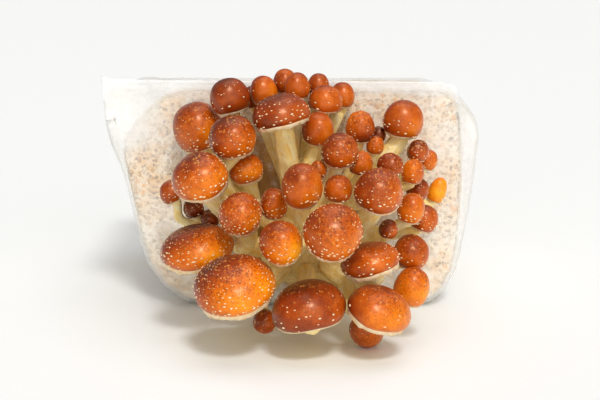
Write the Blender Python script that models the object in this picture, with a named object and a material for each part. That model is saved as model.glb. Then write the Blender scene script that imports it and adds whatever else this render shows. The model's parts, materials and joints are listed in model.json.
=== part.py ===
"""Chestnut mushroom grow block: a bagged sawdust block with a cluster of mushrooms on its front.

Units are metres and +Z is up. The origin is the middle of the flat underside, and the front faces -Y.
Run it with: blender --background --python part.py
"""

import math
import random
from collections import namedtuple

import bmesh
import bpy
from mathutils import Matrix, Vector

MM = 0.001

# Block and bag
BLOCK_DEPTH = 0.140
BACK_DROP = 0.10             # share of the height that the top loses towards the back
FILM = 0.0006                # wall of the bag, thicker than real film so that it is a sound solid
GAP = 0.0003                 # space left between pieces that touch
EDGE_ROUND = 0.0065          # rounding of the block's front and back edges
EDGE_BEND = 0.3              # where the front edge's rounding bends, as a share of it
CORNER_STEPS = 3             # points on the rounding of a corner of an outline
CORNER_REACH = 0.45          # most that a rounding takes of the straight beside it

# Opening in the bag, and the butt of the cluster that fills it
BUTT_CENTRE = (0.008, 0.036)
BUTT_RADII = (0.027, 0.029, 0.022)
OPENING_MARGIN = 0.0025
OPENING_SIDES = 20

# Front elevation of the bag and of the block in it: (across, up, corner radius) in millimetres
BAG_OUTLINE = [
    (-62, 0, 16), (-84, 24, 24), (-91, 60, 30), (-94, 76, 30), (-104, 104, 20), (-104, 127, 10),
    (88, 127, 12), (97, 116, 12), (104, 104, 14), (102, 70, 40), (94, 20, 18), (80, 0, 16),
]
BLOCK_OUTLINE = [
    (-62, 0, 16), (-84, 24, 24), (-91, 60, 30), (-94, 74, 30), (-98, 98, 16), (-72, 127, 24),
    (88, 127, 14), (96, 112, 14), (98, 70, 40), (94, 20, 18), (80, 0, 16),
]
# Crease of film standing on the front top edge, with its ear at the left: (across, up) in millimetres
CREASE_OUTLINE = [
    (-103, 108), (-105, 133), (-98, 131), (-60, 130.5), (20, 130), (80, 129.5), (90, 127.5),
    (93, 118), (60, 115), (-60, 115),
]
CREASE_THICKNESS = 0.0005
CREASE_PROUD = 0.00005       # how far the crease stands in front of the bag's face

# Tail of the bag, folded flat on the back
TAIL_WIDTH = 0.120
TAIL_HEIGHT = 0.062
TAIL_THICKNESS = 0.0026
TAIL_CENTRE_UP = 0.064
TAIL_TAPER = 0.9             # width of the tail's upper edge, as a share of its lower edge

# Mushrooms
SEAT_DEPTH = 0.12            # how far the stem's seat lies above the cap's margin, as a share of the rise
MIDDLE_OF_DOME = 0.42        # height of a dome's middle above its margin, as a share of the rise
WOBBLE = 0.025               # unevenness of a cap's outline, as a share of its radius
STEM_POINTS = 13
STEM_RINGS_EVERY = 3         # the solid takes every third point of the path, and the last two
STEM_CLEARANCE = 0.0017
NECK = 0.6                   # straight length of a stem just under its cap, as a share of its thickness
STEM_FOOT_SWELL = 1.25
STEM_LEAVE = 0.3             # how strongly a stem keeps the trunk's direction, as a share of its span
STEM_ARRIVE = 0.4            # the same for the cap's axis at its upper end
THIN_STEM = 7                # millimetres, below which a stem has one side fewer
STEM_SIDES = 6
TRUNK_SIDES = 7
PIN_SINK = 0.0006            # how far a pin's head is sunk on its stem
SEED = 7

# How stems bend round what is in their way
BEND_ROUNDS = 120
STRAIGHTEN = 0.25            # share of a kink that one round takes out
CAP_PUSH = 0.5               # share of an overlap with a cap that one round takes out
STEM_PUSH = 0.4              # the same with another stem or a trunk
UNDER_CAP = 0.4              # share of a cap's radius, beyond which its own stem stays below its margin
FLOOR_CLEARANCE = 0.0015
FACE_CLEARANCE = 0.001
TRUNK_SHARES = (0.5, 0.67, 0.83, 1.0, 1.17)     # places on a trunk, as shares of the way to its fork

# Turned half profiles of a cap, from the crown to the stem's seat: (share of radius, share of rise)
BUTTON_PROFILE = [(0, 1), (0.50, 0.92), (0.86, 0.67), (1, 0.36), (0.78, 0.0), (0.50, 0.12), (0, 0.12)]
DOME_PROFILE = [(0, 1), (0.42, 0.94), (0.76, 0.72), (0.98, 0.36), (0.93, 0.0), (0.50, 0.12), (0, 0.12)]
SMALL_PROFILE = [(0, 1), (0.62, 0.86), (1, 0.42), (0.76, 0.0), (0.52, 0.12), (0, 0.12)]
SMALL_WIDTH = 15             # millimetres, below which a cap is the small one
WIDE_WIDTH = 24              # millimetres, from which a dome is turned in more steps
BUTTON_RISE = 0.72           # share of its width, above which a cap's rise makes it a button
SMALL_STEPS = 8
MIDDLE_STEPS = 10
WIDE_STEPS = 13

# Caps. Each has the place of the middle of its dome: millimetres across from the middle of the block, out from
# the block's face and up from the ground. Then come its width and rise, its lean to the right and towards the
# front in degrees, the thickness of its stem, and the fork that its stem grows from.
Cap = namedtuple("Cap", "name across out up width rise side front stem fork")
CAPS = [
    Cap("cap_top_1", -3.6, 11, 131, 13.5, 12.2, -3, 2, 5, "top"),
    Cap("cap_top_2", 3, 23, 130, 14, 13, 0, 5, 5, "top"),
    Cap("cap_top_3", 14.5, 10, 129, 12, 11.2, 4, 2, 5, "top"),
    Cap("cap_top_4", -15, 23, 127.6, 15, 14, -8, 5, 5.5, "top"),
    Cap("cap_top_5", -21, 11, 122.5, 12.4, 11, -12, 5, 5, "top"),
    Cap("cap_top_6", -6.1, 44, 120, 32, 15, -12, 0, 10.5, "top"),
    Cap("cap_top_7", 14, 33, 108.4, 17.6, 15.6, 2, 12, 6.5, "top"),
    Cap("cap_top_8", 18.4, 23.5, 123.4, 19, 12.5, 8, 6, 6.5, "top"),
    Cap("cap_top_9", 27.6, 10, 123.3, 14, 12.6, 4, 3, 6.5, "top"),
    Cap("cap_upper_left_1", -33, 28, 125.2, 21, 17, -12, 5, 7.5, "upper_left"),
    Cap("cap_upper_left_2", -50.8, 18, 107.2, 28, 23.5, -20, 12, 8, "upper_left"),
    Cap("cap_upper_left_3", -30.6, 50, 107.5, 25, 18, -8, 22, 8, "upper_left"),
    Cap("cap_left_1", -47.6, 62, 89.8, 31, 17, -18, 24, 10.5, "left"),
    Cap("cap_left_2", -24.3, 38, 88.5, 18.8, 13.6, -15, 15, 8, "upper_left"),
    Cap("cap_left_3", -64.5, 30, 74, 14, 11, -25, 5, 5, "left"),
    Cap("cap_left_4", -26, 72, 71.5, 22.5, 17, -12, 36, 10, "left"),
    Cap("cap_left_5", -9, 62, 74.2, 14.6, 14.6, -5, 20, 5.5, "front"),
    Cap("cap_left_6", -53, 31, 65, 11.6, 9.6, -20, 5, 4.5, "left"),
    Cap("cap_lower_left_1", -49.8, 56, 51, 39.6, 16, -8, 10, 10, "lower_left"),
    Cap("cap_lower_left_2", -28.8, 92, 40.8, 44, 18, -8, 18, 11, "lower_left"),
    Cap("cap_lower_left_3", -14, 68, 13, 13, 10, -5, 50, 5, "lower_left"),
    Cap("cap_front_1", 21, 98, 69.2, 30.6, 18.4, 5, 45, 11, "front"),
    Cap("cap_front_2", -5, 90, 60.8, 22, 18, -5, 34, 10.5, "front"),
    Cap("cap_front_3", 5.5, 78, 87, 21.6, 19.6, 2, 22, 9, "front"),
    Cap("cap_front_4", 24, 66, 83, 15, 12, 5, 15, 5.5, "front"),
    Cap("cap_front_5", 25, 58, 101.6, 19, 15, 5, 22, 6.5, "front"),
    Cap("cap_lower_1", 8.4, 92, 29.4, 39, 19, -10, 6, 10, "lower"),
    Cap("cap_lower_right_1", 44.9, 94, 28.6, 34, 15.8, 20, 9, 8, "lower_right"),
    Cap("cap_lower_right_2", 39.3, 72.4, 9.9, 18.2, 16.4, 5, 50, 6, "lower_right"),
    Cap("cap_lower_right_3", 62.6, 65, 30.6, 19.2, 18, 18, 12, 7, "lower_right"),
    Cap("cap_lower_right_4", 39.6, 75.5, 48.8, 32.2, 12.6, -14, 2, 11, "lower_right"),
    Cap("cap_right_1", 44.8, 74, 84.6, 26.4, 16.8, 8, 24, 10, "right"),
    Cap("cap_right_2", 63.2, 52, 46.4, 19.4, 14.6, 14, 20, 6, "right"),
    Cap("cap_right_3", 63, 50, 69.2, 15, 14, 12, 15, 6, "right"),
    Cap("cap_right_4", 71, 38, 61, 15, 12.8, 24, 8, 5.5, "right"),
    Cap("cap_upper_right_1", 60, 24, 112.3, 22, 18, 10, 6, 10.2, "upper_right"),
    Cap("cap_upper_right_2", 36.4, 34, 109.8, 16, 14.6, 5, 14, 6, "upper_right"),
    Cap("cap_upper_right_3", 36.5, 48, 93, 13, 11, 5, 15, 5, "upper_right"),
    Cap("cap_upper_right_4", 51.5, 52, 93, 14, 10, 8, 12, 5.5, "upper_right"),
    Cap("cap_upper_right_5", 67.2, 34, 97, 12, 10.4, 12, 6, 5, "upper_right"),
    Cap("cap_upper_right_6", 73.4, 22, 90, 12, 10, 22, 5, 5, "upper_right"),
    Cap("cap_upper_right_7", 64, 44, 87.5, 12, 12, 8, 10, 5, "upper_right"),
    Cap("cap_upper_right_8", 67.6, 33, 76, 12.4, 10.6, 15, 8, 5, "upper_right"),
    Cap("cap_upper_right_9", 79.2, 21, 72.6, 9.8, 13.4, 20, 4, 5, "upper_right"),
]
# Pin-sized mushrooms, which stay one piece with the fork that they grow from
PINS = [
    Cap("pin_1", -44, 34, 60, 9.5, 8, -18, 8, 4.5, "left"),
    Cap("pin_2", 14, 56, 91, 8.5, 7.5, 2, 15, 4.5, "front"),
    Cap("pin_3", 44.5, 34, 100, 9, 8, 6, 10, 4.5, "upper_right"),
    Cap("pin_4", 47, 20, 103.5, 7.5, 7, 6, 5, 4, "upper_right"),
    Cap("pin_5", 50.5, 58, 60, 9.5, 8, 10, 15, 4.5, "right"),
]

# Main forks: where each lies (across, out, up) and the thickness of the trunk below it, in millimetres
Fork = namedtuple("Fork", "across out up thickness")
FORKS = {
    "top": Fork(1, 22, 68, 12),
    "upper_left": Fork(-20, 20, 62, 10),
    "left": Fork(-27, 33, 44, 11),
    "lower_left": Fork(-16, 44, 24, 11),
    "front": Fork(8, 44, 54, 12),
    "lower": Fork(8, 47, 24, 10),
    "lower_right": Fork(31, 47, 28, 13),
    "right": Fork(34, 33, 49, 11),
    "upper_right": Fork(25, 19, 64, 12),
}
TRUNK_START = 0.45           # where a trunk begins, as a share of the way from the butt's heart to its fork
TRUNK_MIDDLE = 0.6           # where it is thickest, as a share of its length
TRUNK_RADII = (0.95, 1.03, 1, 0.5)      # radii at its start, middle, fork and tip, as shares of its own
KNUCKLE_LENGTH = 0.8         # length of the knuckle past the fork, as a share of the trunk's radius

# Colours, as (red, green, blue), roughness and metallic
FINISHES = {
    "film": ((0.80, 0.79, 0.74), 0.25, 0.0),
    "substrate": ((0.62, 0.48, 0.30), 0.85, 0.0),
    "stem_flesh": ((0.80, 0.66, 0.38), 0.75, 0.0),
    "cap_skin": ((0.48, 0.13, 0.025), 0.22, 0.0),
}


def clear_scene():
    for obj in list(bpy.data.objects):
        bpy.data.objects.remove(obj, do_unlink=True)


def finish(name, slot):
    """A material of its own for one sub-part, in one of the finishes above."""
    colour, roughness, metallic = FINISHES[slot]
    material = bpy.data.materials.new(name + "_" + slot)
    material.use_nodes = True
    shader = material.node_tree.nodes["Principled BSDF"]
    shader.inputs["Base Color"].default_value = (*colour, 1)
    shader.inputs["Roughness"].default_value = roughness
    shader.inputs["Metallic"].default_value = metallic
    material.diffuse_color = (*colour, 1)
    return material


def new_object(name, bm, slot=None, smooth_angle=50):
    """Puts a bmesh in the scene as an object with outward faces, smooth where the faces meet gently."""
    bmesh.ops.recalc_face_normals(bm, faces=bm.faces)
    mesh = bpy.data.meshes.new(name)
    bm.to_mesh(mesh)
    bm.free()
    mesh.shade_smooth()
    mesh.set_sharp_from_angle(angle=math.radians(smooth_angle))
    obj = bpy.data.objects.new(name, mesh)
    bpy.context.scene.collection.objects.link(obj)
    if slot:
        mesh.materials.append(finish(name, slot))
    return obj


def helper(obj):
    """Marks an object that only cuts or joins another, and isn't a piece itself."""
    obj.hide_render = True
    obj.display_type = "WIRE"
    return obj


def boolean(target, tool, operation):
    modifier = target.modifiers.new(operation.lower() + "_" + tool.name, "BOOLEAN")
    modifier.operation = operation
    modifier.solver = "EXACT"
    modifier.object = tool


def from_block_face(across, out, up):
    """A place given in millimetres across, out from the block's face and up, as world coordinates."""
    return Vector((across * MM, -BLOCK_DEPTH / 2 - out * MM, up * MM))


def rounded_outline(corners):
    """Closed outline through corners (across, up, radius) in millimetres, each rounded by a short arc."""
    points = []
    count = len(corners)
    for i, (x, z, radius) in enumerate(corners):
        corner = Vector((x, z)) * MM
        before = Vector(corners[i - 1][:2]) * MM - corner
        after = Vector(corners[(i + 1) % count][:2]) * MM - corner
        reach = min(radius * MM, CORNER_REACH * before.length, CORNER_REACH * after.length)
        start = corner + before.normalized() * reach
        end = corner + after.normalized() * reach
        for step in range(CORNER_STEPS):
            t = step / (CORNER_STEPS - 1)
            points.append(start * (1 - t) ** 2 + corner * 2 * t * (1 - t) + end * t ** 2)
    return points


def shrink(points, distance):
    """The outline moved inwards by a distance, keeping its number of points."""
    centre = sum(points, Vector((0, 0))) / len(points)
    moved = []
    for i, point in enumerate(points):
        along = points[(i + 1) % len(points)] - points[i - 1]
        inward = Vector((-along.y, along.x)).normalized()
        if inward.dot(centre - point) < 0:
            inward = -inward
        moved.append(point + inward * distance)
    return moved


def pillow(name, corners, inset, slot=None):
    """A block lofted from front to back through one front elevation, with rounded edges and a top that falls."""
    outline = rounded_outline(corners)
    half = BLOCK_DEPTH / 2 - inset
    bend = EDGE_ROUND * EDGE_BEND
    stations = [(-half, EDGE_ROUND), (-half + bend, bend), (-half + EDGE_ROUND, 0),
                (half - EDGE_ROUND, 0), (half, EDGE_ROUND)]
    bm = bmesh.new()
    rings = []
    for y, narrowing in stations:
        fall = 1 - BACK_DROP * (y + half) / (2 * half)
        ring = shrink(outline, narrowing + inset)
        rings.append([bm.verts.new((p.x, y, p.y * fall)) for p in ring])
    for first, second in zip(rings, rings[1:]):
        for i in range(len(outline)):
            j = (i + 1) % len(outline)
            bm.faces.new((first[i], first[j], second[j]))
            bm.faces.new((first[i], second[j], second[i]))
    bm.faces.new(rings[0])
    bm.faces.new(rings[-1])
    return new_object(name, bm, slot)


def plate(name, points, thickness, front):
    """A flat plate cut to an outline (across, up) in metres, with its front face at y = front."""
    bm = bmesh.new()
    face = bm.faces.new([bm.verts.new((x, front, z)) for x, z in points])
    extruded = bmesh.ops.extrude_face_region(bm, geom=[face])
    moved = [item for item in extruded["geom"] if isinstance(item, bmesh.types.BMVert)]
    bmesh.ops.translate(bm, verts=moved, vec=(0, thickness, 0))
    return helper(new_object(name, bm))


def butt_solid(name, growth, slot=None):
    """Half an egg of stem tissue on the face of the block, larger all round by growth."""
    bm = bmesh.new()
    bmesh.ops.create_uvsphere(bm, u_segments=12, v_segments=8, radius=1)
    radii = [r + growth for r in BUTT_RADII]
    bmesh.ops.scale(bm, verts=bm.verts, vec=radii)
    geometry = bm.verts[:] + bm.edges[:] + bm.faces[:]
    cut = bmesh.ops.bisect_plane(bm, geom=geometry, plane_co=(0, 0, 0), plane_no=(0, 1, 0), clear_outer=True)
    rim = [item for item in cut["geom_cut"] if isinstance(item, bmesh.types.BMEdge)]
    bmesh.ops.edgeloop_fill(bm, edges=rim)
    back = -BLOCK_DEPTH / 2 + FILM
    bmesh.ops.translate(bm, verts=bm.verts, vec=(BUTT_CENTRE[0], back, BUTT_CENTRE[1]))
    return new_object(name, bm, slot)


def opening_cutter():
    """The oval hole in the front of the bag."""
    bm = bmesh.new()
    bmesh.ops.create_circle(bm, cap_ends=True, segments=OPENING_SIDES, radius=1)
    bmesh.ops.rotate(bm, verts=bm.verts, matrix=Matrix.Rotation(math.radians(90), 3, "X"))
    radii = (BUTT_RADII[0] + OPENING_MARGIN, 1, BUTT_RADII[2] + OPENING_MARGIN)
    bmesh.ops.scale(bm, verts=bm.verts, vec=radii)
    deep = bmesh.ops.extrude_face_region(bm, geom=bm.faces[:])
    moved = [item for item in deep["geom"] if isinstance(item, bmesh.types.BMVert)]
    reach = 4 * MM
    bmesh.ops.translate(bm, verts=bm.verts, vec=(BUTT_CENTRE[0], -BLOCK_DEPTH / 2 - reach, BUTT_CENTRE[1]))
    bmesh.ops.translate(bm, verts=moved, vec=(0, 2 * reach, 0))
    return helper(new_object("opening_cutter", bm))


def build_bag():
    bag = pillow("grow_bag", BAG_OUTLINE, 0, "film")
    front = -BLOCK_DEPTH / 2
    crease_outline = [(x * MM, z * MM) for x, z in CREASE_OUTLINE]
    crease = plate("crease", crease_outline, CREASE_THICKNESS, front - CREASE_PROUD)
    across = TAIL_WIDTH / 2
    low = TAIL_CENTRE_UP - TAIL_HEIGHT / 2
    high = TAIL_CENTRE_UP + TAIL_HEIGHT / 2
    narrow = across * TAIL_TAPER
    tail_outline = [(-across, low), (across, low), (narrow, high), (-narrow, high)]
    tail = plate("tail", tail_outline, TAIL_THICKNESS + FILM / 2, BLOCK_DEPTH / 2 - FILM / 2)
    cavity = helper(pillow("cavity", BAG_OUTLINE, FILM))
    for tool, operation in ((crease, "UNION"), (tail, "UNION"), (cavity, "DIFFERENCE"),
                            (opening_cutter(), "DIFFERENCE")):
        boolean(bag, tool, operation)
    return bag


def build_block():
    return pillow("substrate_block", BLOCK_OUTLINE, FILM + GAP, "substrate")


def cap_axis(cap):
    """The way that a cap faces, from its stem to its crown."""
    return Vector((math.tan(math.radians(cap.side)), -math.tan(math.radians(cap.front)), 1)).normalized()


def cap_margin(cap):
    """The middle of the plane in which a cap's margin lies."""
    return from_block_face(cap.across, cap.out, cap.up) - cap_axis(cap) * cap.rise * MM * MIDDLE_OF_DOME


def cap_bmesh(cap, wobble):
    """A turned cap with a slightly uneven outline, its margin in the plane z = 0."""
    profile = DOME_PROFILE
    steps = WIDE_STEPS if cap.width >= WIDE_WIDTH else MIDDLE_STEPS
    if cap.width < SMALL_WIDTH:
        profile = SMALL_PROFILE
        steps = SMALL_STEPS
    elif cap.rise > BUTTON_RISE * cap.width:
        profile = BUTTON_PROFILE
        steps = MIDDLE_STEPS
    radius = cap.width / 2 * MM
    bm = bmesh.new()
    verts = [bm.verts.new((r * radius, 0, z * cap.rise * MM)) for r, z in profile]
    edges = [bm.edges.new(pair) for pair in zip(verts, verts[1:])]
    bmesh.ops.spin(bm, geom=verts + edges, cent=(0, 0, 0), axis=(0, 0, 1), angle=2 * math.pi, steps=steps,
                   use_merge=True, use_duplicate=False)
    bmesh.ops.remove_doubles(bm, verts=bm.verts, dist=0.01 * MM)
    phases = [wobble.uniform(0, 2 * math.pi) for _ in range(2)]
    for vert in bm.verts:
        turn = math.atan2(vert.co.y, vert.co.x)
        swell = 1 + WOBBLE * math.cos(2 * turn + phases[0]) + 0.6 * WOBBLE * math.cos(3 * turn + phases[1])
        vert.co.x *= swell
        vert.co.y *= swell
    return bm


def build_cap(cap, wobble):
    obj = new_object(cap.name, cap_bmesh(cap, wobble), "cap_skin", smooth_angle=70)
    obj.location = cap_margin(cap)
    obj.rotation_euler = cap_axis(cap).to_track_quat("Z", "Y").to_euler()
    return obj


def fork_place(fork):
    return from_block_face(fork.across, fork.out, fork.up)


def butt_heart():
    return Vector((BUTT_CENTRE[0], -BLOCK_DEPTH / 2, BUTT_CENTRE[1]))


def stem_path(cap):
    """Places along a stem: out of its fork the way the trunk runs, and up into the cap along the cap's axis."""
    fork = FORKS[cap.fork]
    start = fork_place(fork)
    seat = cap_margin(cap) + cap_axis(cap) * (cap.rise * MM * SEAT_DEPTH - GAP)
    span = (seat - start).length
    leave = start + (start - butt_heart()).normalized() * span * STEM_LEAVE
    arrive = seat - cap_axis(cap) * span * STEM_ARRIVE
    path = []
    for i in range(STEM_POINTS - 1):
        t = i / (STEM_POINTS - 1)
        s = 1 - t
        path.append(start * s ** 3 + leave * 3 * s * s * t + arrive * 3 * s * t * t + seat * t ** 3)
    path[-1] = seat - cap_axis(cap) * cap.stem * MM * NECK
    return path + [seat]


def foot_radius(cap):
    """The radius of a mushroom's stem at its foot, where it is thickest."""
    return cap.stem / 2 * MM * STEM_FOOT_SWELL


def push_from_points(place, points, room):
    """The push on a place away from each point that is nearer than room."""
    push = Vector()
    for point in points:
        apart = place - point
        if apart.length < room:
            push += apart.normalized() * (room - apart.length) * STEM_PUSH
    return push


def push_from_cap(place, own, cap):
    """The push on a place of a stem of radius own, away from another mushroom's cap."""
    away = place - from_block_face(cap.across, cap.out, cap.up)
    along = away.dot(cap_axis(cap))
    flat = (away - cap_axis(cap) * along).length
    radius = cap.width / 2 * MM + own + STEM_CLEARANCE
    height = cap.rise / 2 * MM + own + STEM_CLEARANCE
    reach = math.sqrt((flat / radius) ** 2 + (along / height) ** 2)
    if reach < 1:
        return away.normalized() * (1 - reach) * radius * CAP_PUSH
    return Vector()


def push_below_cap(place, own, cap):
    """The push on a place of a cap's own stem, down to below the margin where it would rise beside it."""
    axis = cap_axis(cap)
    below = place - cap_margin(cap)
    height = below.dot(axis)
    flat = (below - axis * height).length
    too_high = height + own + STEM_CLEARANCE
    radius = cap.width / 2 * MM
    if too_high > 0 and UNDER_CAP * radius < flat < radius + own:
        return -axis * min(too_high, own) * CAP_PUSH
    return Vector()


def bend_clear(paths):
    """Bends each stem round the caps and stems in its way, as growing stems do, with its ends held."""
    trunks = {}
    for name, fork in FORKS.items():
        trunks[name] = [butt_heart().lerp(fork_place(fork), share) for share in TRUNK_SHARES]
    for _ in range(BEND_ROUNDS):
        for cap, path in paths.items():
            own = foot_radius(cap)
            for i in range(1, STEM_POINTS - 2):
                place = path[i]
                push = ((path[i - 1] + path[i + 1]) / 2 - place) * STRAIGHTEN
                push += push_below_cap(place, own, cap)
                for other, other_path in paths.items():
                    if other is cap:
                        continue
                    push += push_from_cap(place, own, other)
                    if other.fork != cap.fork:
                        room = own + foot_radius(other) + STEM_CLEARANCE
                        push += push_from_points(place, other_path, room)
                for name, trunk in trunks.items():
                    if name != cap.fork:
                        room = own + FORKS[name].thickness / 2 * MM + STEM_CLEARANCE
                        push += push_from_points(place, trunk, room)
                place = place + push
                place.z = max(place.z, own + FLOOR_CLEARANCE)
                place.y = min(place.y, -BLOCK_DEPTH / 2 - own - FACE_CLEARANCE)
                path[i] = place


def tube_bmesh(bm, path, radii, sides):
    """A closed tube along a path, whose ends are square to it."""
    rings = []
    side = Vector((0, 1, 0))
    for i, point in enumerate(path):
        ahead = path[min(i + 1, len(path) - 1)]
        behind = path[max(i - 1, 0)]
        along = (ahead - behind).normalized()
        side = (side - along * side.dot(along)).normalized()
        other = along.cross(side)
        ring = []
        for k in range(sides):
            turn = 2 * math.pi * k / sides
            ring.append(bm.verts.new(point + (side * math.cos(turn) + other * math.sin(turn)) * radii[i]))
        rings.append(ring)
    for first, second in zip(rings, rings[1:]):
        for k in range(sides):
            j = (k + 1) % sides
            bm.faces.new((first[k], first[j], second[j], second[k]))
    bm.faces.new(rings[0])
    bm.faces.new(rings[-1])


def stem_solid(cap, path):
    """One stem: a little thicker at its foot, and flat at the top where the cap sits on it."""
    places = path[:-2:STEM_RINGS_EVERY] + path[-2:]
    radius = cap.stem / 2 * MM
    count = len(places)
    radii = [radius * (STEM_FOOT_SWELL - (STEM_FOOT_SWELL - 1) * i / (count - 1)) for i in range(count)]
    radii[0] = radius
    bm = bmesh.new()
    sides = STEM_SIDES - 1 if cap.stem < THIN_STEM else STEM_SIDES
    tube_bmesh(bm, places, radii, sides)
    return helper(new_object("stem_" + cap.name, bm))


def trunk_solid(name, fork):
    """The short thick stem below a fork, with a knuckle where the stems part."""
    place = fork_place(fork)
    start = butt_heart().lerp(place, TRUNK_START)
    radius = fork.thickness / 2 * MM
    along = (place - start).normalized()
    path = [start, start.lerp(place, TRUNK_MIDDLE), place, place + along * radius * KNUCKLE_LENGTH]
    radii = [radius * share for share in TRUNK_RADII]
    bm = bmesh.new()
    tube_bmesh(bm, path, radii, TRUNK_SIDES)
    return new_object("stems_" + name, bm, "stem_flesh")


def pin_solid(pin, wobble):
    """A pin's little cap, which grows into the top of its own stem."""
    obj = helper(new_object("head_" + pin.name, cap_bmesh(pin, wobble)))
    obj.location = cap_margin(pin) - cap_axis(pin) * PIN_SINK
    obj.rotation_euler = cap_axis(pin).to_track_quat("Z", "Y").to_euler()
    return obj


def build_stems(wobble):
    mushrooms = CAPS + PINS
    paths = {cap: stem_path(cap) for cap in mushrooms}
    bend_clear(paths)
    butt_cutter = helper(butt_solid("butt_cutter", GAP))
    for name, fork in FORKS.items():
        bundle = trunk_solid(name, fork)
        for cap in mushrooms:
            if cap.fork == name:
                boolean(bundle, stem_solid(cap, paths[cap]), "UNION")
        for pin in PINS:
            if pin.fork == name:
                boolean(bundle, pin_solid(pin, wobble), "UNION")
        boolean(bundle, butt_cutter, "DIFFERENCE")


def main():
    clear_scene()
    wobble = random.Random(SEED)
    build_bag()
    build_block()
    butt_solid("cluster_base", 0, "stem_flesh")
    for cap in CAPS:
        build_cap(cap, wobble)
    build_stems(wobble)


main()
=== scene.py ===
"""Looks of the chestnut mushroom grow block: caps, stems, sawdust block and film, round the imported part.

Units are metres, +Z is up and the front faces -Y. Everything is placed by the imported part's own nodes.
"""

import json
import math
import random
from collections import namedtuple

import bmesh
import bpy
from mathutils import Matrix, Vector, kdtree, noise
from mathutils.bvhtree import BVHTree

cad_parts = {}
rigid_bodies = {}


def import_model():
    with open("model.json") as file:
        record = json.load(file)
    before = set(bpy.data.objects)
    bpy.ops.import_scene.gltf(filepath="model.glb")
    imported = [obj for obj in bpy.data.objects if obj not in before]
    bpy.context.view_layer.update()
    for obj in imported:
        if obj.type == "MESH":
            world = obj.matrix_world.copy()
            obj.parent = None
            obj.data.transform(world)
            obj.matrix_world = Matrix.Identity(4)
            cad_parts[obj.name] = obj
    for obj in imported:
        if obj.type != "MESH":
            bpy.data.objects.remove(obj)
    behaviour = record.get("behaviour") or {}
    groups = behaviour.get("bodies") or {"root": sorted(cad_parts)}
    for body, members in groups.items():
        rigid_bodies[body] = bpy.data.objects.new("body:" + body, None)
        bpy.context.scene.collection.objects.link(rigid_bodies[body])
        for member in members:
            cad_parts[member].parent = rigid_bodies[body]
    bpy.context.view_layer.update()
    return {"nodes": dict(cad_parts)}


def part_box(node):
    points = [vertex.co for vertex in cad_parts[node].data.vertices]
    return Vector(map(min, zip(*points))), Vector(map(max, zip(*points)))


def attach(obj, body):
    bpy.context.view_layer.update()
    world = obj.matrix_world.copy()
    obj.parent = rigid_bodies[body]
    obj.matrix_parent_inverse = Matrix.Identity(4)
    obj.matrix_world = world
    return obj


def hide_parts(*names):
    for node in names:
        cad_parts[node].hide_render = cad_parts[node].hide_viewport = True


MM = 0.001
SEED = 11
TAU = 2 * math.pi

# Camera: 12 degrees above the horizon, with a long lens
CAMERA_AIM = Vector((0.0045, -0.070, 0.063))
CAMERA_DISTANCE = 0.794
CAMERA_ELEVATION = 12
CAMERA_LENS = 85.02
CAMERA_SENSOR = 36

# Lights, which are all suns: the name, strength, place, width in degrees and colour of each
WARM_WHITE = (1, 0.995, 0.985)
LIGHTS = [
    ("key", 1.55, (0.14, -0.72, 0.84), 12, WARM_WHITE),
    ("overhead", 0.95, (0.10, 0.05, 1.07), 56, (1, 1, 1)),
    ("front fill", 1.45, (0.25, -1.2, 0.35), 80, WARM_WHITE),
]
LIT_PLACE = Vector((0, -0.08, 0.07))
WORLD_COLOUR = (1.0, 1.0, 0.99)
WORLD_STRENGTH = 0.30
FLOOR_COLOUR = (0.92, 0.92, 0.905)
FLOOR_HALF = 6

# The middle of the butt that all stems grow from, on the front of the block
HEART = Vector((0.008, -0.070, 0.036))
BLOCK_FRONT = -0.070

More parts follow.
